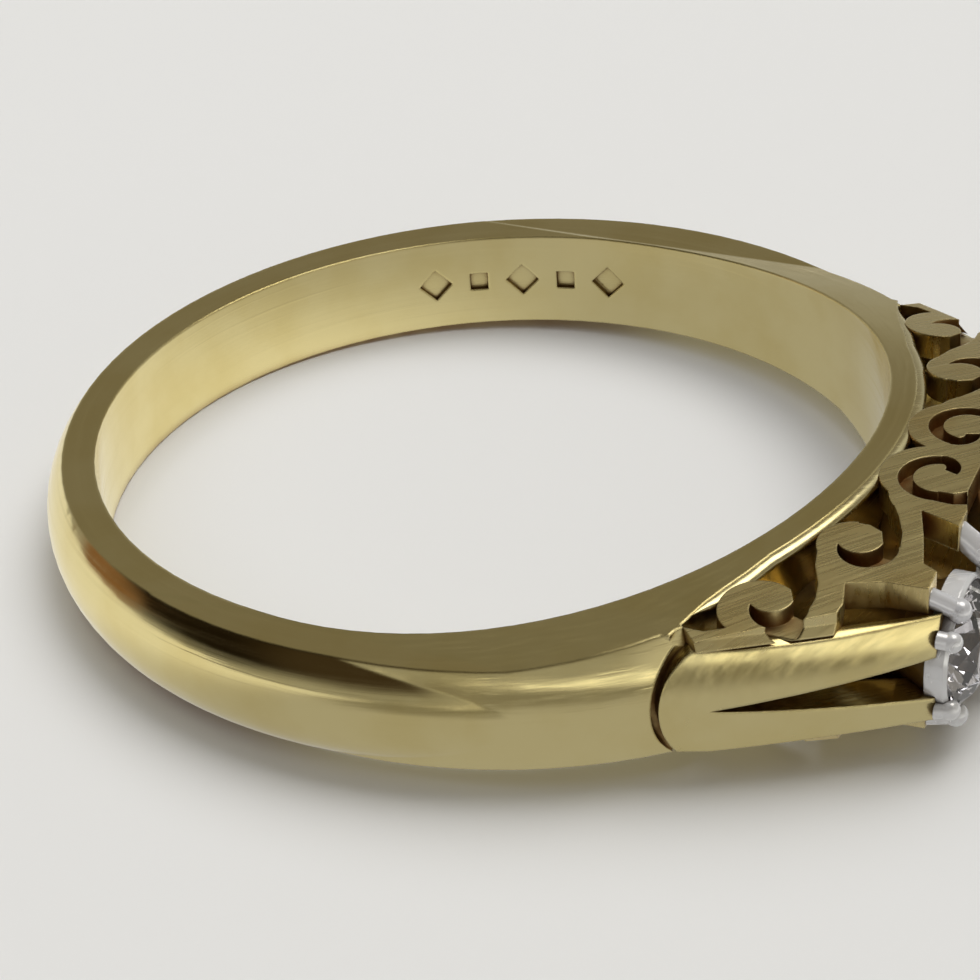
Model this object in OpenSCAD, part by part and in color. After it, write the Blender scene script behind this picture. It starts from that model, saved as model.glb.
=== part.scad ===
// Antique three-stone engagement ring with pierced scroll sides, lying on its side.
// Origin: centre of the finger hole. +Z runs along the finger, +X points at the head.
// All sizes in millimetres. The head is drawn in a (u, v) picture: v runs up towards the
// head and u runs along the finger circle; side_on() turns that picture into the frame.

/* [Hoop] */
// Radius of the finger hole
bore_r = 8.5; // [7:0.1:11]
// Radial thickness of the hoop where it runs under the head
rail_t = 0.55; // [0.4:0.05:1.2]
// Radial thickness of the domed shank, before the outside is set over
crown_t = 1.44; // [1:0.02:2.2]
// Radius of the dome across the shank
dome_r = 1.57; // [1.2:0.01:3]
// How far the outside circle is set over towards the head
crown_up = 0.22; // [0:0.01:0.6]
// How far the outside circle is set over to one side, by hand finishing and wear
crown_over = -0.18; // [-0.3:0.01:0.3]
// Half of the width at the middle of the head
head_half = 2.08; // [1.6:0.02:3]
// The same on the lower side, which is a little closer in
head_low = 1.62; // [1.3:0.02:3]
// Radius of the boat-shaped sides, seen from above the head
boat_r = 39.4; // [20:0.2:90]
// Least half width of the hoop at its sides
side_half = 1.13; // [0.9:0.01:1.6]
// Half of the width at the back of the hoop
back_half = 1.07; // [0.8:0.01:1.6]

// Radius of the fuller section towards the shoulders
swell_ring_r = 9.48; // [9:0.02:11]
// How far that section is set towards the head
swell_ring_up = 0.94; // [0.4:0.02:1.6]
// Radius of the dome across it
swell_dome_r = 3.0; // [2:0.1:6]
// Width of the blank punched marks inside the hoop
punch_w = 0.62; // [0.3:0.02:1]
// Depth of the punched marks
punch_d = 0.12; // [0.05:0.01:0.2]

/* [Shoulders] */
// Angle from the middle of the head at which the shoulders start
shoulder_deg = 46.5; // [40:0.5:56]
// Radius at which the outer line of a shoulder starts
shoulder_r = 10.22; // [9.6:0.02:11]
// Across-the-ring position of the shoulder tips
arm_tip_u = 4.7; // [4:0.05:6]
// Height of the shoulder tips above the bore centre
arm_tip_v = 11.25; // [10.5:0.05:12.5]
// Swell of the shoulder between its ends
arm_swell = 0.16; // [0.05:0.01:0.5]
// Radius of the slight dome across a shoulder
arm_r = 4.2; // [2:0.1:9]
// Thickness of the split bars
arm_t = 0.72; // [0.4:0.02:1.2]
// Thickness of the split bars along their outer edges
arm_edge_t = 0.3; // [0.2:0.02:0.6]
// From the middle of the ring to the upper edge of the bars
arm_half = 1.26; // [1:0.01:1.6]
// From the middle of the ring to the lower edge of the bars
arm_low = 1.05; // [0.9:0.01:1.6]
// Thickness of the lower bar along its outer edge
arm_low_t = 0.6; // [0.3:0.02:1]
// Width of the bevel along the outer edges of the bars
arm_bevel = 0.16; // [0.05:0.01:0.4]
// Radius of the rounded start of a shoulder
root_r = 1.52; // [1.3:0.01:2]
// Where the split starts, measured along the shoulder
slot_start = 0.72; // [0.3:0.02:2]
// Half width of the split at the tips
slot_half = 0.46; // [0.2:0.01:0.8]
// Width of the cut groove between shank and shoulder
groove_w = 0.14; // [0.05:0.01:0.3]
// Depth of that groove below the outer line of the shoulder
groove_d = 0.42; // [0.2:0.01:0.8]

/* [Gallery] */
// Thickness of the pierced side panels
panel_t = 0.58; // [0.3:0.02:1]
// Depth of the carved scroll grooves
carve_d = 0.34; // [0.1:0.02:0.5]
// Height of the lower edge of the middle window
window_v = 10.82; // [10.4:0.02:11.2]
// Height at which the upright bars of the panels end
bar_top = 11.02; // [10.9:0.02:11.6]

/* [Stones] */
// Radius of the middle stone
stone_mid_r = 1.93; // [1.5:0.01:2.3]
// Radius of the two end stones
stone_end_r = 1.25; // [0.9:0.01:1.6]
// Height of the girdle of the middle stone
girdle_mid_v = 11.62; // [11.2:0.01:12.2]
// Height of the girdle of the end stones
girdle_end_v = 11.44; // [11:0.01:12]
// Width of the metal rim outside a girdle
rim_w = 0.10; // [0.05:0.01:0.3]
// Depth of the metal seat under a girdle
seat_h = 0.40; // [0.2:0.02:0.8]
// Girdle thickness as a share of the stone radius
girdle_share = 0.05; // [0.02:0.01:0.1]
// Table width as a share of the stone width
table_share = 0.54; // [0.4:0.01:0.65]
// Slope of the main crown facets
crown_deg = 35; // [28:0.5:42]
// Slope of the main pavilion facets
pavilion_deg = 41; // [38:0.5:45]

/* [Claws] */
// Radius of the shared claw beads between two stones
bead_shared_r = 0.33; // [0.2:0.01:0.45]
// Radius of the outer claw beads
bead_outer_r = 0.24; // [0.15:0.01:0.35]
// Radius of the tip beads on the split bars
bead_tip_r = 0.21; // [0.15:0.01:0.35]
// Height of the bead centres above the girdle
bead_up = 0.06; // [0:0.01:0.2]

/* [Hidden] */
rail_r = bore_r + rail_t;
crown_r = bore_r + crown_t;
stone_u = stone_mid_r + stone_end_r + 2 * rim_w;
// chord of the shoulder's outer line, in the (u, v) picture
arm_u0 = shoulder_r * sin(shoulder_deg);
arm_v0 = shoulder_r * cos(shoulder_deg);
arm_len = norm([arm_tip_u - arm_u0, arm_tip_v - arm_v0]);
arm_turn = atan2(arm_u0 - arm_tip_u, arm_tip_v - arm_v0);
swell_r = (arm_len * arm_len / 4 + arm_swell * arm_swell) / (2 * arm_swell);
// half width of the boat-shaped sides at a given u, for a half width at the middle
function side_z(u, half_w = head_half) = half_w - boat_r + sqrt(boat_r * boat_r - u * u);
gold = [0.80, 0.70, 0.42];
platinum = [0.80, 0.80, 0.82];
clear = [0.92, 0.95, 0.98];
$fn = 96;

// turns the (u, v) picture so that v points along +X
module side_on() {
  rotate([0, 0, -90]) children();
}

// everything between the boat-shaped sides, drawn in by inset
module boat(inset = 0, up = head_half, low = head_low) {
  intersection() {
    translate([0, 0, up - inset - boat_r])
      rotate([90, 0, 0])
        cylinder(r = boat_r, h = 40, center = true, $fn = 720);
    translate([0, 0, boat_r - low + inset])
      rotate([90, 0, 0])
        cylinder(r = boat_r, h = 40, center = true, $fn = 720);
  }
}

// the width of the hoop all the way round
module hoop_width() {
  intersection() {
    union() {
      boat();
      cube([40, 40, 2 * side_half], center = true);
    }
    rotate([90, 0, 90])
      linear_extrude(height = 40, center = true)
        polygon([
          [-14, -back_half], [0, -side_half - 0.04], [4, -head_half - 0.4], [16, -head_half - 0.4],
          [16, head_half + 0.4], [4, head_half + 0.4], [0, side_half + 0.04], [-14, back_half]
        ]);
  }
}

// wedge of the (u, v) picture within a number of degrees of the head's middle
module head_wedge(deg, reach = 30) {
  linear_extrude(height = 12, center = true)
    polygon([[0, 0], [-reach * sin(deg), reach * cos(deg)], [reach * sin(deg), reach * cos(deg)]]);
}

// where the hoop thickens towards the root of a shoulder
module ramp_outline() {
  polygon([
    [4.4, 7.92], [5.0, 7.68], [5.5, 7.44], [6.0, 7.22], [6.5, 7.06], [6.98, 6.9], [7.05, 6.6],
    [6.4, 6.3], [4.2, 7.6]
  ]);
}

// the domed outside of the hoop as a full ring
module shank_dome() {
  translate([crown_over, crown_up, 0])
    rotate_extrude()
      union() {
        intersection() {
          translate([crown_r - dome_r, 0]) circle(r = dome_r);
          translate([0, -4]) square([20, 8]);
        }
        translate([0, -dome_r]) square([crown_r - dome_r, 2 * dome_r]);
      }
}

// the fuller section that the hoop grows into towards the shoulders
module swell_ring() {
  translate([0, swell_ring_up, 0])
    rotate_extrude()
      intersection() {
        translate([swell_ring_r - swell_dome_r, 0]) circle(r = swell_dome_r);
        translate([0, -1.6]) square([20, 3.2]);
      }
}

// row of blank lozenge and square marks inside the hoop
module punches() {
  for (i = [-2:2])
    rotate([0, 0, 200.1 + 7.2 * i])
      translate([bore_r - 0.5, 0, 0])
        rotate([0, 90, 0])
          rotate([0, 0, i % 2 == 0 ? 0 : 45])
            cylinder(d = punch_w * (i % 2 == 0 ? 1.3 : 1), h = 0.5 + punch_d, $fn = 4);
}

module shank() {
  color(gold) side_on() difference() {
    intersection() {
      union() {
        // flat-sided hoop, which carries on unbroken under the head
        cylinder(r = rail_r, h = 6, center = true);
        // the hoop thickens towards the roots of the shoulders
        for (s = [0, 1])
          mirror([s, 0, 0]) linear_extrude(height = 6, center = true) ramp_outline();
        // domed outside from shoulder to shoulder
        difference() {
          union() {
            shank_dome();
            swell_ring();
          }
          head_wedge(shoulder_deg - 3);
          root_room(groove_w);
          mirror([1, 0, 0]) root_room(groove_w);
        }
      }
      hoop_width();
    }
    // finger hole and the marks in its wall
    cylinder(r = bore_r, h = 10, center = true);
    punches();
    // light holes under the stones
    translate([0, bore_r - 1, 0]) rotate([-90, 0, 0]) cylinder(r = 0.62, h = 2);
    for (s = [-1, 1])
      translate([s * stone_u, bore_r - 3, 0]) rotate([-90, 0, 0]) cylinder(r = 0.40, h = 5);
  }
}

// axis system of a shoulder: x outwards, y along it from the base, z across
module arm_frame() {
  translate([arm_u0, arm_v0, 0]) rotate([0, 0, arm_turn]) children();
}

// the slightly domed and swelling outside of a shoulder
module arm_barrel() {
  arm_frame()
    translate([-arm_r, 0, 0])
      rotate([-90, 0, 0])
        translate([0, 0, -2])
          rotate_extrude()
            intersection() {
              translate([arm_r + arm_swell - swell_r, arm_len / 2 + 2]) circle(r = swell_r, $fn = 720);
              square([arm_r + 2, arm_len + 4]);
            }
}

// prism along a shoulder from an outline in its own (x, z) picture
module along_arm(from, to) {
  arm_frame()
    translate([0, to, 0])
      rotate([90, 0, 0])
        linear_extrude(height = to - from)
          children();
}

// prism outwards through a shoulder from an outline in its own (y, z) picture
module through_arm(inner = -4, outer = 4) {
  arm_frame()
    translate([inner, 0, 0])
      rotate([90, 0, 90])
        linear_extrude(height = outer - inner)
          children();
}

// outline of a shoulder with its rounded start, seen from outside
module root_outline(grow = 0) {
  translate([root_r - 0.2, 0]) circle(r = root_r + grow);
  translate([root_r - 0.2, -root_r - grow]) square([arm_len + 2, 2 * (root_r + grow)]);
}

// the room a shoulder takes out of the domed shank, with the groove round its start
module root_room(grow) {
  through_arm(-groove_d, 4) root_outline(grow);
}

// one split shoulder, on the +u side
module shoulder_body() {
  difference() {
    intersection() {
      arm_barrel();
      // section of the shoulder: bevelled outer edges, flat sides
      along_arm(-1, arm_len + 1)
        polygon([
          [-3, -arm_low], [-arm_bevel, -arm_low], [arm_swell + 0.2, -arm_low + arm_bevel * 1.4],
          [arm_swell + 0.2, arm_half - arm_bevel * 1.4], [-arm_bevel, arm_half], [-3, arm_half]
        ]);
      through_arm() root_outline();
      boat();
      translate([0, 0, -4]) cube([20, arm_tip_v, 8]);
    }
    // hoop and shank
    cylinder(r = rail_r, h = 8, center = true);
    linear_extrude(height = 8, center = true) ramp_outline();
    difference() {
      union() {
        shank_dome();
        swell_ring();
      }
      root_room(groove_w);
    }
    // open space inside the bars, beyond the solid root
    along_arm(1.1, arm_len + 2)
      polygon([
        [-4, -4], [-arm_low_t, -4], [-arm_low_t, -arm_low], [-arm_t, -0.6], [-arm_t, 0.6],
        [-arm_edge_t, arm_half], [-arm_edge_t, 4], [-4, 4]
      ]);
    // the split between the bars
    through_arm()
      polygon([
        [slot_start, 0],
        [arm_len + 1, -slot_half * (arm_len + 1 - slot_start) / (arm_len - slot_start)],
        [arm_len + 1, slot_half * (arm_len + 1 - slot_start) / (arm_len - slot_start)]
      ]);
    // seat and collet of the end stone
    end_envelope();
  }
}

module shoulder_right() {
  color(gold) side_on() shoulder_body();
}

module shoulder_left() {
  color(gold) side_on() mirror([1, 0, 0]) shoulder_body();
}

// part of a ring between two angles, counted anticlockwise from +u
module arc_band(r_in, r_out, a0, a1) {
  n = 6;
  intersection() {
    difference() {
      circle(r = r_out);
      circle(r = r_in);
    }
    polygon(concat([[0, 0]], [for (i = [0:n]) 3 * r_out * [cos(a0 + (a1 - a0) * i / n), sin(a0 + (a1 - a0) * i / n)]]));
  }
}

// right half of the pierced panel seen from the side, with the last opening cut or left solid
module panel_half(pierce_last) {
  difference() {
    union() {
      // spine of the scrollwork with the upright bars between the windows
      polygon([
        [-0.01, 9.95], [0.5, 9.5], [1.5, 9.3], [2.0, 9.5], [2.5, 9.84], [3.0, 10.07], [3.5, 10.17],
        [4.2, 9.6], [3.9, 8.7], [4.4, 8.82], [4.9, 9.05], [5.3, 9.13], [5.7, 9.1], [6.2, 8.8],
        [6.2, 8.3], [6.36, 8.1], [6.7, 7.46], [6.7, 6.7], [8.4, 7.0], [7.4, 9.6], [6.44, 9.26],
        [6.0, 9.58], [5.3, 9.66], [4.76, 9.52], [4.52, 10.2], [4.47, bar_top], [3.95, bar_top],
        [3.8, 10.72], [3.0, 10.48], [2.22, 10.2], [2.36, 10.65], [2.5, bar_top], [1.95, bar_top],
        [1.84, 10.98], [1.3, window_v + 0.03], [-0.01, window_v]
      ]);
      // scroll nearest the middle
      translate([0.95, 10.05]) circle(r = 1.04);
      // second scroll: eye, lobe and groove floor
      translate([3.6, 9.28]) circle(r = 0.68);
      translate([3.65, 9.6]) circle(r = 0.6);
      // third scroll
      translate([5.85, 8.21]) circle(r = 0.76);
      translate([5.75, 8.58]) circle(r = 0.58);
    }
    // openings to the left of the eyes
    polygon([
      [2.2, 9.66], [2.5, 9.84], [3.0, 10.07], [3.46, 10.17], [3.42, 9.82], [3.1, 9.7], [2.96, 9.42],
      [2.96, 9.2], [2.6, 9.0], [2.2, 9.2]
    ]);
    if (pierce_last)
      polygon([
        [4.6, 8.9], [4.9, 9.05], [5.3, 9.13], [5.6, 9.12], [5.48, 8.76], [5.2, 8.62], [5.1, 8.4],
        [5.09, 8.2], [4.8, 8.0], [4.5, 8.4]
      ]);
    // the middle window cuts off the top of the first scroll
    polygon([[-0.02, window_v], [1.3, window_v + 0.03], [1.84, 10.98], [1.84, 12], [-0.02, 12]]);
  }
}

// carved grooves of the right half
module panel_grooves() {
  // first scroll: an open C whose left end curls in
  translate([1.04, 10.2]) arc_band(0.5, 0.8, 186, 378);
  translate([0.68, 10.08]) arc_band(0.15, 0.44, 70, 186);
  polygon([[1.5, 10.32], [1.84, 10.32], [1.86, 10.7], [1.76, 11.0], [1.36, 10.84], [1.5, 10.62]]);
  // second and third scrolls: crescents round the eyes
  difference() {
    translate([3.65, 9.6]) circle(r = 0.58);
    translate([3.4, 9.38]) circle(r = 0.45);
  }
  difference() {
    translate([5.75, 8.58]) circle(r = 0.55);
    translate([5.47, 8.34]) circle(r = 0.43);
  }
}

// both halves of a side panel, on the +Z side: half_w is its half width at the middle,
// arm_z the edge of the bars that it stands on, and arm_x how far in its edge lies there
module panel_body(half_w, arm_z, arm_x, pierce_last) {
  difference() {
    intersection() {
      difference() {
        boat(0, half_w, half_w);
        boat(panel_t, half_w, half_w);
      }
      translate([0, 0, 0.3])
        linear_extrude(height = 4)
          difference() {
            union() {
              panel_half(pierce_last);
              mirror([1, 0]) panel_half(pierce_last);
            }
            circle(r = rail_r);
            for (s = [0, 1]) mirror([s, 0]) ramp_outline();
          }
      head_wedge(shoulder_deg - 3);
    }
    // carved grooves
    difference() {
      translate([0, 0, 0.3])
        linear_extrude(height = 4) {
          panel_grooves();
          mirror([1, 0]) panel_grooves();
        }
      boat(carve_d, half_w, half_w);
    }
    // room for the shoulders
    for (s = [0, 1])
      mirror([s, 0, 0]) {
        along_arm(-2, arm_len + 3)
          polygon([
            [-arm_t, 0], [4, 0], [4, 4], [arm_x - 0.1, 4], [arm_x - 0.1, arm_z + 0.2],
            [arm_x, arm_z], [-arm_t, arm_z]
          ]);
      }
  }
}

module panel_upper() {
  color(gold) side_on() panel_body(head_half, arm_half, -0.04, true);
}

module panel_lower() {
  color(gold) side_on() mirror([0, 0, 1]) panel_body(head_low, arm_low, -0.12, false);
}

// turns a shape drawn round Z so that it stands on the (u, v) picture at u, v
module standing(u, v) {
  translate([u, v, 0]) rotate([-90, 0, 0]) children();
}

// tapered gold tube under a stone: r_top at its mouth, r_foot on the hoop
module collet(u, r_top, r_foot, v_top, wall = 0.2) {
  low = sqrt(rail_r * rail_r - u * u) - 1.2;
  v_neck = v_top - 0.62;
  difference() {
    standing(u, 0)
      rotate_extrude()
        polygon([
          [r_foot - wall, low], [r_foot, low], [r_top * 0.70, v_neck], [r_top, v_top],
          [r_top - wall, v_top], [r_top * 0.70 - wall, v_neck]
        ]);
    cylinder(r = rail_r, h = 8, center = true);
    // filed flat where it stands between the panels
    difference() {
      translate([-10, 0, -5]) cube([20, bar_top, 10]);
      boat(panel_t);
    }
  }
}

// solid space taken up by an end stone's collet and seat
module end_envelope() {
  v_top = girdle_end_v - seat_h;
  standing(stone_u, 0)
    rotate_extrude()
      polygon([
        [0, 6.5], [0.62, 6.5], [stone_end_r * 0.70, v_top - 0.62], [stone_end_r, v_top],
        [stone_end_r + rim_w, v_top], [stone_end_r + rim_w, 14], [0, 14]
      ]);
}

module collet_middle() {
  color(gold) side_on() collet(0, stone_mid_r, 0.95, girdle_mid_v - seat_h);
}

module collet_right() {
  color(gold) side_on() collet(stone_u, stone_end_r, 0.62, girdle_end_v - seat_h);
}

module collet_left() {
  color(gold) side_on() collet(-stone_u, stone_end_r, 0.62, girdle_end_v - seat_h);
}

// white metal seat: a rim round the girdle with a bearing under the stone
module seat(u, r, v_girdle) {
  g = r * girdle_share / 2;
  standing(u, v_girdle)
    rotate_extrude()
      polygon([
        [r - 0.26, -seat_h], [r + rim_w, -seat_h], [r + rim_w, -0.04], [r + rim_w - 0.05, 0.03],
        [r, 0.03], [r, -g], [r - 0.26, -0.31]
      ]);
}

module seat_middle() {
  color(platinum) side_on() seat(0, stone_mid_r, girdle_mid_v);
}

module seat_right() {
  color(platinum) side_on() seat(stone_u, stone_end_r, girdle_end_v);
}

module seat_left() {
  color(platinum) side_on() seat(-stone_u, stone_end_r, girdle_end_v);
}

// points of a cut stone: count of them at radius r and height z, the first at azimuth a0
function stone_ring(count, r, z, a0) = [
  for (i = [0:count - 1]) let (a = a0 + 360 * i / count) [r * cos(a), r * sin(a), z]
];

// the scalloped edge of the girdle: z at the corners, z_mid between them
function scallops(r, z, z_mid) = [
  for (j = [0:31]) [r * cos(11.25 * j), r * sin(11.25 * j), j % 2 == 0 ? z : z_mid]
];

// round brilliant, table towards +v, girdle plane at v
module brilliant(u, r, v) {
  g = r * girdle_share / 2;
  half = 22.5;
  table_z = g + (1 - table_share) * r * tan(crown_deg);
  // corners where star, bezel and upper girdle facets meet
  star_r = 0.75 * r;
  star_z = g + (r - star_r * cos(half)) * tan(crown_deg);
  up_mid = g - r * (1 - cos(half / 2)) * (star_z - g) / ((r - star_r) * cos(half / 2));
  // corners where the main and lower girdle facets of the pavilion meet
  low_r = 0.26 * r;
  low_z = -g - (r - low_r * cos(half)) * tan(pavilion_deg);
  low_mid = -g - r * (1 - cos(half / 2)) * (low_z + g) / ((r - low_r) * cos(half / 2));
  culet_r = 0.05 * r;
  culet_z = -g - (r - culet_r * cos(half)) * tan(pavilion_deg);
  points = concat(
    stone_ring(8, table_share * r, table_z, 0), stone_ring(8, star_r, star_z, half),
    scallops(r, g, up_mid), scallops(r, -g, low_mid),
    stone_ring(8, low_r, low_z, half), stone_ring(8, culet_r, culet_z, half)
  );
  faces = concat(
    [[for (k = [0:7]) 7 - k]],
    [for (k = [0:7]) [k, (k + 1) % 8, 8 + k]],
    [for (k = [0:7]) [k, 8 + k, 16 + 4 * k, 8 + (k + 7) % 8]],
    [for (k = [0:7]) [8 + k, 18 + 4 * k, 17 + 4 * k, 16 + 4 * k]],
    [for (k = [0:7]) [8 + k, 16 + (4 * k + 4) % 32, 19 + 4 * k, 18 + 4 * k]],
    [for (j = [0:31]) [16 + j, 16 + (j + 1) % 32, 48 + (j + 1) % 32, 48 + j]],
    [for (k = [0:7]) [80 + k, 48 + 4 * k, 49 + 4 * k, 50 + 4 * k]],
    [for (k = [0:7]) [80 + k, 50 + 4 * k, 51 + 4 * k, 48 + (4 * k + 4) % 32]],
    [for (k = [0:7]) [48 + 4 * k, 80 + k, 88 + k, 88 + (k + 7) % 8, 80 + (k + 7) % 8]],
    [[for (k = [0:7]) 88 + k]]
  );
  standing(u, v) polyhedron(points, faces, convexity = 2);
}

module diamond_middle() {
  color(clear) side_on() brilliant(0, stone_mid_r, girdle_mid_v);
}

module diamond_right() {
  color(clear) side_on() brilliant(stone_u, stone_end_r, girdle_end_v);
}

module diamond_left() {
  color(clear) side_on() brilliant(-stone_u, stone_end_r, girdle_end_v);
}

// tapered rod from a to b that ends in a round bead at b
module claw_rod(a, b, ra, rb) {
  d = b - a;
  len = norm(d);
  translate(a)
    rotate([0, acos(d[2] / len), atan2(d[1], d[0])])
      rotate_extrude()
        union() {
          polygon([[0, 0], [ra, 0], [rb * 0.8, len - rb * 0.3], [0, len]]);
          intersection() {
            translate([0, len]) circle(r = rb);
            translate([0, len - rb]) square([rb, 2 * rb]);
          }
        }
}

// claw shared by the middle and an end stone, +u +Z side
module claw_shared_body(half_w) {
  u = stone_mid_r + rim_w + 0.08;
  difference() {
    claw_rod(
      [u + 0.12, bar_top - 0.4, side_z(u, half_w) - panel_t / 2 + 0.2], [u, girdle_end_v + 0.16 + bead_up, 1.02],
      0.24, bead_shared_r
    );
    stone_room(0, stone_mid_r, girdle_mid_v);
    stone_room(stone_u, stone_end_r, girdle_end_v);
    below_bars();
  }
}

// outer claw of an end stone, +u +Z side
module claw_outer_body(half_w) {
  a = 60;
  reach = stone_end_r + rim_w + 0.02;
  difference() {
    claw_rod(
      [4.36, bar_top - 0.4, side_z(4.28, half_w) - panel_t / 2 + 0.12],
      [stone_u + reach * cos(a), girdle_end_v + bead_up, reach * sin(a)], 0.21, bead_outer_r
    );
    stone_room(stone_u, stone_end_r, girdle_end_v);
    below_bars();
  }
}

// tip claw on a split bar, +u +Z side
module claw_tip_body(bar_z) {
  a = 34;
  reach = stone_end_r + rim_w + 0.02;
  difference() {
    claw_rod(
      [arm_tip_u + 0.02, arm_tip_v - 0.4, (slot_half + bar_z) / 2 + 0.04],
      [stone_u + reach * cos(a), girdle_end_v + bead_up, reach * sin(a)], 0.2, bead_tip_r
    );
    stone_room(stone_u, stone_end_r, girdle_end_v);
    translate([0, 0, -4]) cube([20, arm_tip_v, 8]);
  }
}

// the space a claw has to leave for a stone, its seat and its collet
module stone_room(u, r, v_girdle) {
  crown = (1 - table_share) * r * tan(crown_deg + 6);
  standing(u, v_girdle)
    rotate_extrude()
      polygon([
        [0, -seat_h - 1.4], [r * 0.6, -seat_h - 1.4], [r + rim_w, -seat_h], [r + rim_w, -0.04],
        [r + rim_w - 0.05, 0.03], [r + 0.02, 0.06], [r * table_share + 0.02, 0.06 + crown],
        [0, 0.06 + crown]
      ]);
}

// everything lower than the tops of the panel bars
module below_bars() {
  translate([-20, -20, -8]) cube([40, 20 + bar_top, 16]);
}

module claw_shared_ru() {
  color(platinum) side_on() claw_shared_body(head_half);
}

module claw_shared_rl() {
  color(platinum) side_on() mirror([0, 0, 1]) claw_shared_body(head_low);
}

module claw_shared_lu() {
  color(platinum) side_on() mirror([1, 0, 0]) claw_shared_body(head_half);
}

module claw_shared_ll() {
  color(platinum) side_on() mirror([1, 0, 0]) mirror([0, 0, 1]) claw_shared_body(head_low);
}

module claw_outer_ru() {
  color(platinum) side_on() claw_outer_body(head_half);
}

module claw_outer_rl() {
  color(platinum) side_on() mirror([0, 0, 1]) claw_outer_body(head_low);
}

module claw_outer_lu() {
  color(platinum) side_on() mirror([1, 0, 0]) claw_outer_body(head_half);
}

module claw_outer_ll() {
  color(platinum) side_on() mirror([1, 0, 0]) mirror([0, 0, 1]) claw_outer_body(head_low);
}

module claw_tip_ru() {
  color(platinum) side_on() claw_tip_body(arm_half);
}

module claw_tip_rl() {
  color(platinum) side_on() mirror([0, 0, 1]) claw_tip_body(arm_low);
}

module claw_tip_lu() {
  color(platinum) side_on() mirror([1, 0, 0]) claw_tip_body(arm_half);
}

module claw_tip_ll() {
  color(platinum) side_on() mirror([1, 0, 0]) mirror([0, 0, 1]) claw_tip_body(arm_low);
}

shank();
shoulder_right();
shoulder_left();
panel_upper();
panel_lower();
collet_middle();
collet_right();
collet_left();
seat_middle();
seat_right();
seat_left();
diamond_middle();
diamond_right();
diamond_left();
claw_shared_ru();
claw_shared_rl();
claw_shared_lu();
claw_shared_ll();
claw_outer_ru();
claw_outer_rl();
claw_outer_lu();
claw_outer_ll();
claw_tip_ru();
claw_tip_rl();
claw_tip_lu();
claw_tip_ll();
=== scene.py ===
"""Look of an antique three-stone engagement ring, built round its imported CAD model.

The ring lies on its side. Lengths in the dataclasses are millimetres, meshes are metres.
"""

import logging
import math
from collections.abc import Sequence
from dataclasses import dataclass, field
from enum import Enum

import bpy
import numpy as np
from mathutils import Matrix, Vector


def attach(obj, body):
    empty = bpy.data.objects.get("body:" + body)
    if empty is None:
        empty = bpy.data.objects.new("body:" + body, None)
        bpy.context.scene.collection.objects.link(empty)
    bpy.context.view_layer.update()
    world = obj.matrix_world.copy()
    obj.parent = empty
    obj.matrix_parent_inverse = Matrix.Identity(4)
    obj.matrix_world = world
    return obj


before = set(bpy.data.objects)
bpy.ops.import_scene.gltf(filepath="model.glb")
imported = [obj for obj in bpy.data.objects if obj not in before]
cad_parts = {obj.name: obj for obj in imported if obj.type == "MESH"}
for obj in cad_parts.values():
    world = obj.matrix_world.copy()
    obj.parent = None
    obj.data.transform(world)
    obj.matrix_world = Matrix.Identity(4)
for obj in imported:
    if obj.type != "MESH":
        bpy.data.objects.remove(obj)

LOG = logging.getLogger("ring")
MM = 0.001
FACING = 27.3  # direction the viewer stands in, in degrees round the ring
Colour = tuple[float, float, float]


class Grain(Enum):
    """Which way the polishing marks run."""

    ROUND_THE_HOOP = "round the hoop"
    FLAT = "flat"


# ---------------------------------------------------------------- node helpers


class NodeBench:
    """A node tree being wired up, with one short method for each kind of node."""

    def __init__(self, tree: bpy.types.NodeTree) -> None:
        """Takes an empty node tree."""
        self.tree = tree

    def put(self, kind: str, **sockets: object) -> bpy.types.Node:
        """Adds a node and sets or links its inputs.

        Args:
            kind: the node's type name.
            **sockets: input name (underscores for spaces) or i0, i1 by number, to a
                value or to another node's output.

        Returns:
            The new node.
        """
        node = self.tree.nodes.new(kind)
        for name, value in sockets.items():
            key = int(name[1:]) if name[0] == "i" and name[1:].isdigit() else name.replace("_", " ")
            self.feed(node.inputs[key], value)
        return node

    def feed(self, socket: bpy.types.NodeSocket, value: object) -> None:
        """Links an output to the socket, or sets its value."""
        if isinstance(value, bpy.types.NodeSocket):
            self.tree.links.new(value, socket)
        else:
            socket.default_value = value

    def math(self, op: str, a: object, b: object = 0.0, clamp: bool = False) -> bpy.types.NodeSocket:
        """One Math node's result."""
        node = self.put("ShaderNodeMath", i0=a, i1=b)
        node.operation = op
        node.use_clamp = clamp
        return node.outputs[0]

    def smooth(
        self, value: object, low: float, high: float, to_low: float = 0.0, to_high: float = 1.0
    ) -> bpy.types.NodeSocket:
        """A smooth step: to_low at and below low, to_high at and above high."""
        node = self.put("ShaderNodeMapRange", i0=value, i1=low, i2=high, i3=to_low, i4=to_high)
        node.interpolation_type = "SMOOTHSTEP"
        return node.outputs[0]

    def noise(self, vector: object, scale: float, detail: float = 3.0) -> bpy.types.NodeSocket:
        """A noise texture's factor, 0 to 1."""
        node = self.put("ShaderNodeTexNoise", Vector=vector, Scale=scale, Detail=detail)
        return node.outputs[0]

    def mix(self, share: object, a: object, b: object) -> bpy.types.NodeSocket:
        """Colour a where share is 0 and colour b where it is 1."""
        node = self.tree.nodes.new("ShaderNodeMix")
        node.data_type = "RGBA"
        self.feed(node.inputs[0], share)
        self.feed(node.inputs[6], a)
        self.feed(node.inputs[7], b)
        return node.outputs[2]


def rgba(colour: Colour) -> tuple[float, float, float, float]:
    """The colour with an alpha of 1."""
    return (*colour, 1.0)


def new_material(name: str) -> tuple[bpy.types.Material, NodeBench, bpy.types.Node]:
    """Makes a node material that holds one Principled shader.

    Args:
        name: the material's name.

    Returns:
        The material, its bench and its shader.
    """
    material = bpy.data.materials.new(name)
    material.use_nodes = True
    tree = material.node_tree
    return material, NodeBench(tree), tree.nodes["Principled BSDF"]


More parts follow.
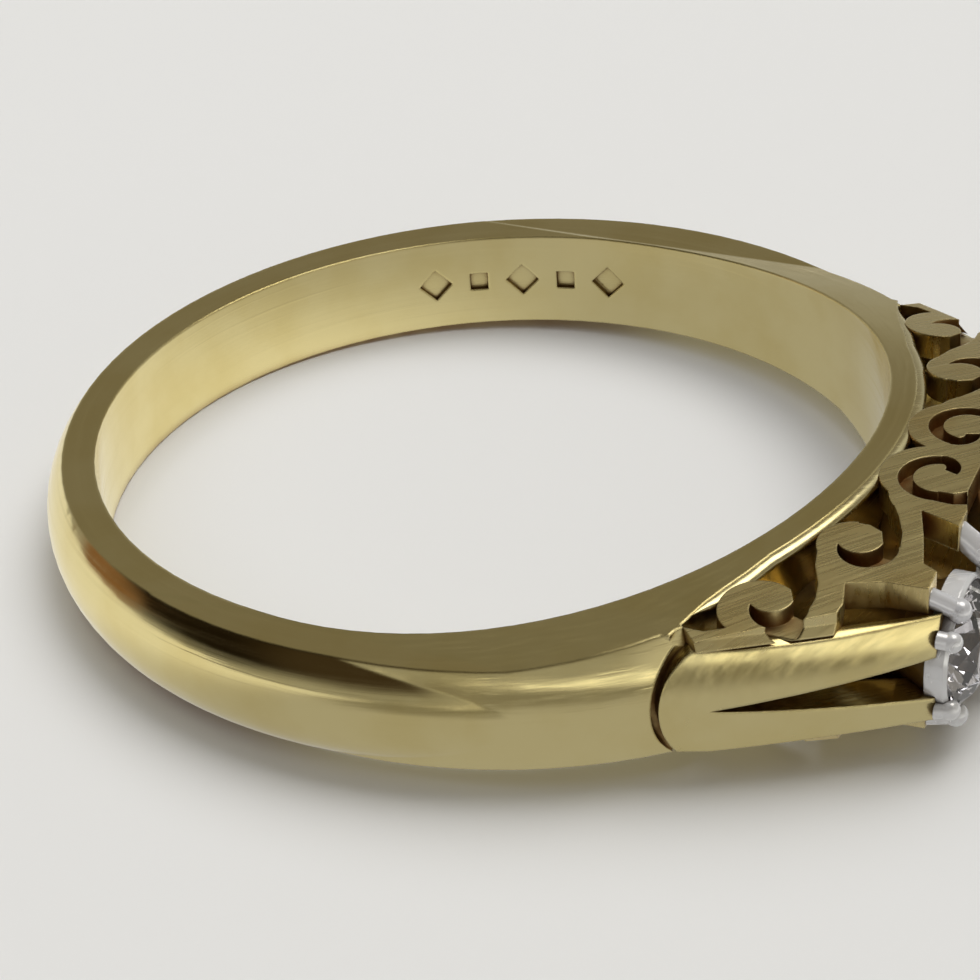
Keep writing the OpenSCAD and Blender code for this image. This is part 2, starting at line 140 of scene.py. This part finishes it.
# ---------------------------------------------------------------------- finishes


@dataclass(frozen=True)
class MetalFinish:
    """Worn, polished metal: soft edges, fine scratches, and painted shade that darkens the recesses."""

    name: str
    base: Colour
    deep: Colour
    recess_shade: Colour
    rough_low: float = 0.10
    rough_high: float = 0.24
    recess_shade_reach: float = 0.5
    recess_shade_from: float = 0.34
    recess_shade_to: float = 0.80
    edge: float = 0.07
    grain: Grain = Grain.ROUND_THE_HOOP
    scratch: float = 1.0
    wave: float = 1.0
    metallic: float = 1.0

    def place(self, bench: NodeBench) -> tuple[bpy.types.NodeSocket, bpy.types.NodeSocket]:
        """Where a point lies, in mm, and the same stretched along the polishing marks.

        The stretched vector is (angle times radius / 14, 4 z, 4 radius) round the hoop,
        so that noise on it makes lines that run round the ring.
        """
        point = bench.put("ShaderNodeTexCoord").outputs["Object"]
        scaled = bench.put("ShaderNodeVectorMath", i0=point, i1=(1000.0, 1000.0, 1000.0))
        scaled.operation = "MULTIPLY"
        mm = scaled.outputs[0]
        parts = bench.put("ShaderNodeSeparateXYZ", i0=mm)
        x, y, z = parts.outputs
        if self.grain is Grain.FLAT:
            along = bench.math("MULTIPLY", bench.math("ADD", x, y), 0.12)
            across = bench.math("MULTIPLY", bench.math("SUBTRACT", x, y), 4.0)
            line = bench.put("ShaderNodeCombineXYZ", i0=along, i1=across, i2=z)
            return mm, line.outputs[0]
        angle = bench.math("ARCTAN2", y, x)
        radius = bench.math(
            "SQRT", bench.math("ADD", bench.math("MULTIPLY", x, x), bench.math("MULTIPLY", y, y))
        )
        line = bench.put(
            "ShaderNodeCombineXYZ",
            i0=bench.math("MULTIPLY", angle, 0.65),
            i1=bench.math("MULTIPLY", z, 4.0),
            i2=bench.math("MULTIPLY", radius, 4.0),
        )
        return mm, line.outputs[0]

    def make(self) -> bpy.types.Material:
        """Builds the material."""
        material, bench, shader = new_material(self.name)
        mm, line = self.place(bench)
        cloud = bench.noise(mm, 0.55, 4.0)
        satin = bench.noise(line, 3.2, 5.0)
        scuff = bench.smooth(bench.noise(line, 1.3, 8.0), 0.56, 0.70)
        # painted shade: ambient occlusion turns enclosed surfaces, in patches, towards a dark brown and
        # roughens them
        sides = bench.put("ShaderNodeAmbientOcclusion", Distance=self.recess_shade_reach * MM)
        sides.samples = 8
        recess_shade_mask = bench.smooth(
            sides.outputs["AO"], self.recess_shade_from, self.recess_shade_to, to_low=1.0, to_high=0.0
        )
        patches = bench.smooth(bench.noise(mm, 2.3, 4.0), 0.25, 0.62, 0.72, 1.0)
        patchy_recess_shade = bench.math("MULTIPLY", recess_shade_mask, patches)
        colour = bench.mix(bench.smooth(cloud, 0.35, 0.70), rgba(self.base), rgba(self.deep))
        colour = bench.mix(patchy_recess_shade, colour, rgba(self.recess_shade))
        rough = bench.smooth(satin, 0.30, 0.75, self.rough_low, self.rough_high)
        rough = bench.math("ADD", rough, bench.math("MULTIPLY", patchy_recess_shade, 0.28), clamp=True)
        bench.feed(shader.inputs["Base Color"], colour)
        bench.feed(shader.inputs["Roughness"], rough)
        shader.inputs["Metallic"].default_value = self.metallic
        soft = bench.put("ShaderNodeBevel", Radius=self.edge * MM)
        soft.samples = 6
        swell = bench.put(
            "ShaderNodeBump", Strength=1.0, Distance=0.012 * MM * self.wave,
            Height=bench.noise(mm, 0.42, 1.0), Normal=soft.outputs[0],
        )
        marks = bench.put(
            "ShaderNodeBump", Strength=0.55, Distance=0.0022 * MM * self.scratch,
            Height=bench.math("ADD", satin, scuff), Normal=swell.outputs[0],
        )
        bench.feed(shader.inputs["Normal"], marks.outputs[0])
        return material


@dataclass(frozen=True)
class StoneFinish:
    """Clear cut stone, with the faint mauve cast that small old stones have."""

    name: str
    tint: Colour = (0.93, 0.90, 0.95)

    def make(self) -> bpy.types.Material:
        """Builds the material: dust varies the roughness."""
        material, bench, shader = new_material(self.name)
        point = bench.put("ShaderNodeTexCoord").outputs["Object"]
        dust = bench.smooth(bench.noise(point, 2600.0, 3.0), 0.55, 0.75, 0.0, 0.07)
        bench.feed(shader.inputs["Roughness"], dust)
        shader.inputs["Base Color"].default_value = rgba(self.tint)
        shader.inputs["IOR"].default_value = 2.417
        shader.inputs["Transmission Weight"].default_value = 1.0
        return material


@dataclass(frozen=True)
class FloorFinish:
    """Pale matt paper, which the polished metal mirrors as a painted reflection: in glossy rays it is an
    emission in zones set by the viewer's direction.
    """

    name: str
    shade: Colour = (0.80, 0.80, 0.80)
    near: Colour = (0.46, 0.45, 0.43)
    front: Colour = (0.25, 0.235, 0.20)
    behind: Colour = (0.88, 0.86, 0.80)
    beyond: Colour = (1.30, 1.27, 1.15)
    facing: float = FACING

    def make(self) -> bpy.types.Material:
        """Builds the material.

        Mirrored, the paper is a painted reflection, an emission that goes from near to front
        over 14 to 19 mm towards the viewer, from near to behind over 1 to 8 mm towards the
        back and left, and to beyond over 18 to 25 mm towards the right.
        """
        material, bench, shader = new_material(self.name)
        point = bench.put("ShaderNodeTexCoord").outputs["Object"]

        def reach(turn: float, start: float, end: float) -> bpy.types.NodeSocket:
            """0 to 1 from start to end, in mm, in the direction turned off facing."""
            a = math.radians(self.facing + turn)
            dot = bench.put("ShaderNodeVectorMath", i0=point, i1=(math.sin(a), -math.cos(a), 0.0))
            dot.operation = "DOT_PRODUCT"
            return bench.smooth(dot.outputs["Value"], start * MM, end * MM)

        fibre = bench.noise(point, 900.0, 4.0)
        bench.feed(
            shader.inputs["Base Color"],
            bench.mix(fibre, rgba(self.shade), rgba(tuple(c * 0.995 for c in self.shade))),
        )
        shader.inputs["Roughness"].default_value = 1.0
        shader.inputs["Specular IOR Level"].default_value = 0.0
        colour = bench.mix(reach(0.0, 14.5, 18.5), rgba(self.near), rgba(self.front))
        colour = bench.mix(reach(-120.0, 1.0, 8.0), colour, rgba(self.behind))
        colour = bench.mix(reach(60.0, 18.0, 25.0), colour, rgba(self.beyond))
        # painted reflection: glossy rays see this emission in place of the paper
        glow = bench.put("ShaderNodeEmission", Color=colour)
        ray = bench.put("ShaderNodeLightPath")
        both = bench.put(
            "ShaderNodeMixShader", i0=ray.outputs["Is Glossy Ray"], i1=shader.outputs[0], i2=glow.outputs[0]
        )
        bench.feed(material.node_tree.nodes["Material Output"].inputs["Surface"], both.outputs[0])
        return material


# each metal's third colour is painted shade, laid into its recesses by ambient occlusion
YELLOW_GOLD = MetalFinish(
    name="yellow_gold", base=(0.80, 0.69, 0.35), deep=(0.75, 0.63, 0.29), recess_shade=(0.20, 0.105, 0.035),
    edge=0.09,
)
SHOULDER_GOLD = MetalFinish(
    name="shoulder_gold", base=(0.80, 0.69, 0.35), deep=(0.75, 0.63, 0.29), recess_shade=(0.22, 0.115, 0.035),
    rough_low=0.12, rough_high=0.28, recess_shade_reach=0.6, edge=0.10, grain=Grain.FLAT, scratch=0.7,
)
# painted highlight: a lighter, paler copy of the gold for the rail bevels
HIGHLIGHT_GOLD = MetalFinish(
    name="highlight_gold", base=(0.86, 0.77, 0.45), deep=(0.82, 0.71, 0.38), recess_shade=(0.30, 0.17, 0.06),
    rough_low=0.16, rough_high=0.30, recess_shade_reach=0.3, recess_shade_from=0.10, recess_shade_to=0.45, edge=0.03,
    grain=Grain.FLAT,
)
GALLERY_GOLD = MetalFinish(
    name="gallery_gold", base=(0.76, 0.65, 0.34), deep=(0.72, 0.58, 0.27), recess_shade=(0.26, 0.13, 0.045),
    rough_low=0.22, rough_high=0.40, recess_shade_reach=0.55, recess_shade_from=0.40, recess_shade_to=0.93, edge=0.045,
    grain=Grain.FLAT, scratch=1.6,
)
# painted shade: a darker, browner copy of the gold for the collets, which stand in shade behind the gallery
SHADED_COLLET_GOLD = MetalFinish(
    name="shaded_collet_gold", base=(0.78, 0.60, 0.30), deep=(0.68, 0.50, 0.22), recess_shade=(0.22, 0.11, 0.04),
    rough_low=0.24, rough_high=0.42, recess_shade_reach=0.8, recess_shade_from=0.35, recess_shade_to=0.95, edge=0.03,
    grain=Grain.FLAT,
)
CLAW_PLATINUM = MetalFinish(
    name="claw_platinum", base=(0.82, 0.82, 0.83), deep=(0.74, 0.74, 0.77), recess_shade=(0.16, 0.14, 0.13),
    rough_low=0.14, rough_high=0.30, recess_shade_reach=0.22, recess_shade_from=0.30, recess_shade_to=0.85, edge=0.03,
    grain=Grain.FLAT, scratch=1.2, metallic=0.4,
)
CLEAR_STONE = StoneFinish(name="clear_stone")
# the floor's paper carries a painted reflection for glossy rays
PAPER_WITH_PAINTED_REFLECTION = FloorFinish(name="paper_with_painted_reflection")


# ------------------------------------------------------------------ sub-assemblies


@dataclass
class CadGroup:
    """CAD nodes that share one finish."""

    title: str
    nodes: Sequence[str]
    finish: MetalFinish | StoneFinish

    def dress(self) -> None:
        """Gives each node the finish in place of its plain colour."""
        material = self.finish.make()
        for name in self.nodes:
            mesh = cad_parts[name].data
            mesh.materials.clear()
            mesh.materials.append(material)
            LOG.info("%s: %s dressed as %s", self.title, name, self.finish.name)


def claw_names(kind: str) -> list[str]:
    """The four claws of a kind: right and left, upper and lower."""
    return [f"claw_{kind}_{side}{level}" for side in "rl" for level in "ul"]


def swept(name: str, sections: np.ndarray, finish: MetalFinish) -> bpy.types.Object:
    """Makes a closed solid from cross-sections that follow one another.

    Point j of section i is joined to point j + 1 and to section i + 1 by one quad, and
    the two end sections are closed by fans about their middles.

    Args:
        name: the piece's name.
        sections: array of shape (count, points, 3), in mm, each section a closed loop.
        finish: the metal it is dressed in.

    Returns:
        The new piece, riding on the ring.
    """
    count, points, _ = sections.shape
    i, j = np.meshgrid(np.arange(count - 1), np.arange(points), indexing="ij")
    k = (j + 1) % points
    quads = np.stack([i * points + j, (i + 1) * points + j, (i + 1) * points + k, i * points + k], axis=-1)
    ends = np.stack([sections[0].mean(0), sections[-1].mean(0)])
    loop = np.arange(points)
    after = (loop + 1) % points
    start = np.full(points, count * points)
    far = (count - 1) * points
    first = np.stack([start, loop, after], axis=-1)
    last = np.stack([start + 1, far + after, far + loop], axis=-1)
    places = np.concatenate([sections.reshape(-1, 3), ends]) * MM
    faces = [*quads.reshape(-1, 4).tolist(), *first.tolist(), *last.tolist()]
    # the sum of the tetrahedra under the faces is negative when they point inwards
    a, b, c, d = (places[quads.reshape(-1, 4)[:, n]] - places.mean(0) for n in range(4))
    volume = np.einsum("ij,ij->", np.cross(b - a, c - a) + np.cross(c - a, d - a), a)
    if volume < 0:
        faces = [face[::-1] for face in faces]
    mesh = bpy.data.meshes.new(name)
    mesh.from_pydata(places.tolist(), [], faces)
    mesh.shade_smooth()
    mesh.materials.append(finish.make())
    piece = bpy.data.objects.new(name, mesh)
    bpy.context.scene.collection.objects.link(piece)
    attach(piece, "root")
    LOG.info("%s: %d faces, %s", name, len(faces), finish.name)
    return piece


@dataclass
class RailBevel:
    """The bevel along the hoop's outer edge, where it runs under the head, in a lighter gold that paints
    its highlight.

    The root points are where the edge leaves the rail's circle for a shoulder: they
    run from the end of the arc outwards.
    """

    rail_r: float = 9.05
    half_up: float = 2.08
    half_low: float = 1.62
    boat_r: float = 39.4
    width: float = 0.20
    drop: float = 0.15
    taper: float = 0.7
    sink: float = 0.05
    below: float = 0.006
    least: float = 0.05
    arc_points: int = 58
    ramp_points: int = 24
    root_u: tuple[float, ...] = (4.4, 5.0, 5.5, 6.0, 6.4)
    root_v: tuple[float, ...] = (7.908, 7.68, 7.44, 7.22, 7.09)

    def path(self) -> tuple[np.ndarray, np.ndarray]:
        """The edge seen from the side, from one shoulder to the other.

        It is the circle v = sqrt(rail_r^2 - u^2) as far as the first root point, and
        straight from root point to root point after that, the same on both sides.

        Returns:
            The u and the v of its points.
        """
        start, end = self.root_u[0], self.root_u[-1]
        ramp_u = np.linspace(start, end, self.ramp_points)
        arc_u = np.linspace(-start, start, self.arc_points + 2)[1:-1]
        u = np.concatenate([-ramp_u[::-1], arc_u, ramp_u])
        arc = np.sqrt(self.rail_r**2 - np.minimum(np.abs(u), start) ** 2)
        ramp = np.interp(np.abs(u), self.root_u, self.root_v)
        return u, np.where(np.abs(u) < start, arc, ramp)

    def build(self, name: str, side: int) -> bpy.types.Object:
        """Adds one bevel.

        Its section is a quarter-round of the bevel's width and drop, swept along the
        path; the height of its top is half - boat_r + sqrt(boat_r^2 - u^2), and towards
        its two ends it shrinks by 3 s^2 - 2 s^3 over the taper's length.

        Args:
            name: the piece's name.
            side: 1 for the upper edge and -1 for the lower.

        Returns:
            The new piece.
        """
        u, v = self.path()
        du, dv = np.gradient(u), np.gradient(v)
        length = np.hypot(du, dv)
        out_u, out_v = -dv / length, du / length
        half = self.half_up if side > 0 else self.half_low
        top = half - self.boat_r + np.sqrt(self.boat_r**2 - u**2) - self.below
        t = np.linspace(0.0, np.pi / 2.0, 6)
        away = np.concatenate([[-self.sink], self.width * np.sin(t), [-self.sink]])
        down = np.concatenate([[0.0], self.drop * (1.0 - np.cos(t)), [self.drop]])
        size = np.clip((self.root_u[-1] - np.abs(u)) / self.taper, 0.0, 1.0)[:, None]
        size = self.least + (1.0 - self.least) * size * size * (3.0 - 2.0 * size)
        ring_u = u[:, None] + out_u[:, None] * away * size
        ring_v = v[:, None] + out_v[:, None] * away * size
        ring_z = side * (top[:, None] - down * size)
        return swept(name, np.stack([ring_v, -ring_u, ring_z], axis=-1), HIGHLIGHT_GOLD)


# -------------------------------------------------------------------------- studio


@dataclass(frozen=True)
class Glow:
    """A soft patch of the surroundings, round one direction.

    Its strength falls smoothly from full inside the inner angle to nothing at the outer.
    """

    azimuth: float
    elevation: float
    inner: float
    outer: float
    colour: Colour

    def axis(self) -> Vector:
        """Unit vector towards the patch."""
        a, e = math.radians(self.azimuth), math.radians(self.elevation)
        return Vector((math.sin(a) * math.cos(e), -math.cos(a) * math.cos(e), math.sin(e)))


@dataclass(frozen=True)
class Surroundings:
    """What the metal mirrors: a pale horizon, a dim room above it and soft patches."""

    horizon: Colour = (0.36, 0.35, 0.32)
    room: Colour = (0.21, 0.19, 0.15)
    ceiling: Colour = (0.20, 0.185, 0.15)
    patches: tuple[Glow, ...] = ()
    shades: tuple[Glow, ...] = ()

    def build(self) -> None:
        """Wires the world: a ramp over height, less the shades, plus the patches."""
        world = bpy.data.worlds.new("soft_surroundings")
        bpy.context.scene.world = world
        world.use_nodes = True
        bench = NodeBench(world.node_tree)
        look = bench.put("ShaderNodeTexCoord").outputs["Generated"]
        height = bench.put("ShaderNodeSeparateXYZ", i0=look).outputs[2]
        colour = bench.mix(
            bench.smooth(height, math.sin(math.radians(9)), math.sin(math.radians(22))),
            rgba(self.horizon), rgba(self.room),
        )
        colour = bench.mix(bench.smooth(height, 0.55, 0.95), colour, rgba(self.ceiling))
        for shade in self.shades:
            colour = bench.mix(self.cover(bench, look, shade), colour, rgba(shade.colour))
        for patch in self.patches:
            colour = bench.mix(self.cover(bench, look, patch), colour, rgba(patch.colour))
        bench.feed(world.node_tree.nodes["Background"].inputs["Color"], colour)

    @staticmethod
    def cover(bench: NodeBench, look: bpy.types.NodeSocket, glow: Glow) -> bpy.types.NodeSocket:
        """How much of a patch is seen in the direction looked at, 0 to 1."""
        dot = bench.put("ShaderNodeVectorMath", i0=look, i1=tuple(glow.axis()))
        dot.operation = "DOT_PRODUCT"
        return bench.smooth(
            dot.outputs["Value"], math.cos(math.radians(glow.outer)), math.cos(math.radians(glow.inner))
        )


@dataclass(frozen=True)
class SoftLight:
    """A large square area light."""

    name: str
    azimuth: float
    elevation: float
    power: float
    distance: float = 260.0
    size: float = 240.0
    colour: Colour = (0.95, 0.97, 1.0)

    def build(self) -> None:
        """Adds the light, aimed at the ring and not mirrored in it."""
        lamp = bpy.data.lights.new(self.name, "AREA")
        lamp.size = self.size * MM
        lamp.energy = self.power
        lamp.color = self.colour
        holder = bpy.data.objects.new(self.name, lamp)
        a, e = math.radians(self.azimuth), math.radians(self.elevation)
        back = Vector((math.sin(a) * math.cos(e), -math.cos(a) * math.cos(e), math.sin(e)))
        holder.location = back * self.distance * MM
        holder.rotation_mode = "QUATERNION"
        holder.rotation_quaternion = back.to_track_quat("Z", "Y")
        holder.visible_glossy = False
        bpy.context.scene.collection.objects.link(holder)


@dataclass(frozen=True)
class ViewPoint:
    """The camera: where it looks, from where, and its roll."""

    azimuth: float = FACING
    elevation: float = 31.365
    roll: float = -4.388
    distance: float = 53.476
    target: tuple[float, float, float] = (0.524, -1.295, 0.0)
    lens: float = 92.33

    def build(self) -> None:
        """Adds the camera and makes it the scene's."""
        a, e, r = (math.radians(v) for v in (self.azimuth, self.elevation, self.roll))
        back = Vector((math.sin(a) * math.cos(e), -math.cos(a) * math.cos(e), math.sin(e)))
        right = Vector((math.cos(a), math.sin(a), 0.0))
        up = back.cross(right)
        turned_right = right * math.cos(r) + up * math.sin(r)
        turned_up = up * math.cos(r) - right * math.sin(r)
        lens = bpy.data.cameras.new("viewpoint")
        lens.sensor_width = 36.0
        lens.lens = self.lens
        lens.clip_start = 1.0 * MM
        lens.clip_end = 5.0
        camera = bpy.data.objects.new("viewpoint", lens)
        bpy.context.scene.collection.objects.link(camera)
        turn = Matrix((turned_right, turned_up, back)).transposed().to_4x4()
        place = Vector(self.target) * MM + back * self.distance * MM
        camera.matrix_world = Matrix.Translation(place) @ turn
        bpy.context.scene.camera = camera


@dataclass(frozen=True)
class Floor:
    """A wide round of paper under the ring, tipped so that head and back both touch it."""

    head_x: float = 11.45
    head_z: float = -2.035
    back_x: float = -9.75
    back_z: float = -1.075
    radius: float = 900.0
    rings: int = 12
    spokes: int = 64

    def build(self) -> bpy.types.Object:
        """Adds the floor.

        A point at radius r and angle t lies at (r cos t, r sin t), on the plane through
        the head's and the back's lowest edges.
        """
        slope = (self.head_z - self.back_z) / (self.head_x - self.back_x)
        r = self.radius * (np.arange(1, self.rings + 1) / self.rings) ** 2
        t = np.linspace(0.0, 2.0 * np.pi, self.spokes, endpoint=False)
        x = np.append(np.outer(r, np.cos(t)).ravel(), 0.0)
        y = np.append(np.outer(r, np.sin(t)).ravel(), 0.0)
        z = self.head_z + slope * (x - self.head_x)
        i, j = np.meshgrid(np.arange(self.rings - 1), np.arange(self.spokes), indexing="ij")
        k = (j + 1) % self.spokes
        inner, outer = i * self.spokes, (i + 1) * self.spokes
        quads = np.stack([inner + j, outer + j, outer + k, inner + k], axis=-1).reshape(-1, 4)
        s = np.arange(self.spokes)
        fan = np.stack([np.full_like(s, len(x) - 1), s, (s + 1) % self.spokes], axis=-1)
        mesh = bpy.data.meshes.new("paper_floor")
        mesh.from_pydata((np.stack([x, y, z], axis=-1) * MM).tolist(), [], quads.tolist() + fan.tolist())
        mesh.materials.append(PAPER_WITH_PAINTED_REFLECTION.make())
        floor = bpy.data.objects.new("paper_floor", mesh)
        bpy.context.scene.collection.objects.link(floor)
        return floor


@dataclass
class Studio:
    """Camera, floor, lights and surroundings."""

    view: ViewPoint = field(default_factory=ViewPoint)
    floor: Floor = field(default_factory=Floor)

    def build(self) -> None:
        """Sets the whole studio up."""
        self.view.build()
        self.floor.build()
        facing = self.view.azimuth
        Surroundings(
            shades=(
                Glow(facing - 78, 40, 24, 42, (0.012, 0.008, 0.004)),
                Glow(facing - 36, 38, 14, 34, (0.05, 0.035, 0.02)),
                Glow(facing + 8, 55, 8, 30, (0.03, 0.022, 0.012)),
            ),
            patches=(
                Glow(facing - 110, 10, 5, 16, (0.24, 0.125, 0.06)),
                Glow(facing + 42, 2, 10, 30, (0.62, 0.60, 0.55)),
                Glow(facing + 128, 35, 6, 22, (0.50, 0.49, 0.45)),
                Glow(facing + 112, 68, 14, 24, (2.6, 2.5, 2.25)),
            ),
        ).build()
        SoftLight("overhead", facing + 150, 70, power=0.352).build()
        SoftLight("fill", facing - 60, 55, power=0.176).build()
        scene = bpy.context.scene
        scene.view_settings.view_transform = "Standard"
        scene.view_settings.look = "None"


# ---------------------------------------------------------------------------- main


def main() -> None:
    """Builds the studio, dresses every piece and adds the two rail bevels."""
    logging.basicConfig(level=logging.INFO, format="%(name)s: %(message)s")
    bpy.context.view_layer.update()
    Studio().build()
    groups = [
        CadGroup("hoop", ["shank"], YELLOW_GOLD),
        CadGroup("shoulders", ["shoulder_right", "shoulder_left"], SHOULDER_GOLD),
        CadGroup("gallery", ["panel_upper", "panel_lower"], GALLERY_GOLD),
        CadGroup("collets", [f"collet_{p}" for p in ("middle", "right", "left")], SHADED_COLLET_GOLD),
        CadGroup("seats", [f"seat_{p}" for p in ("middle", "right", "left")], CLAW_PLATINUM),
        CadGroup("claws", claw_names("shared") + claw_names("outer") + claw_names("tip"), CLAW_PLATINUM),
        CadGroup("stones", [f"diamond_{p}" for p in ("middle", "right", "left")], CLEAR_STONE),
    ]
    for group in groups:
        group.dress()
    RailBevel().build("rail_bevel_upper", 1)
    RailBevel().build("rail_bevel_lower", -1)


if __name__ == "__main__":
    main()
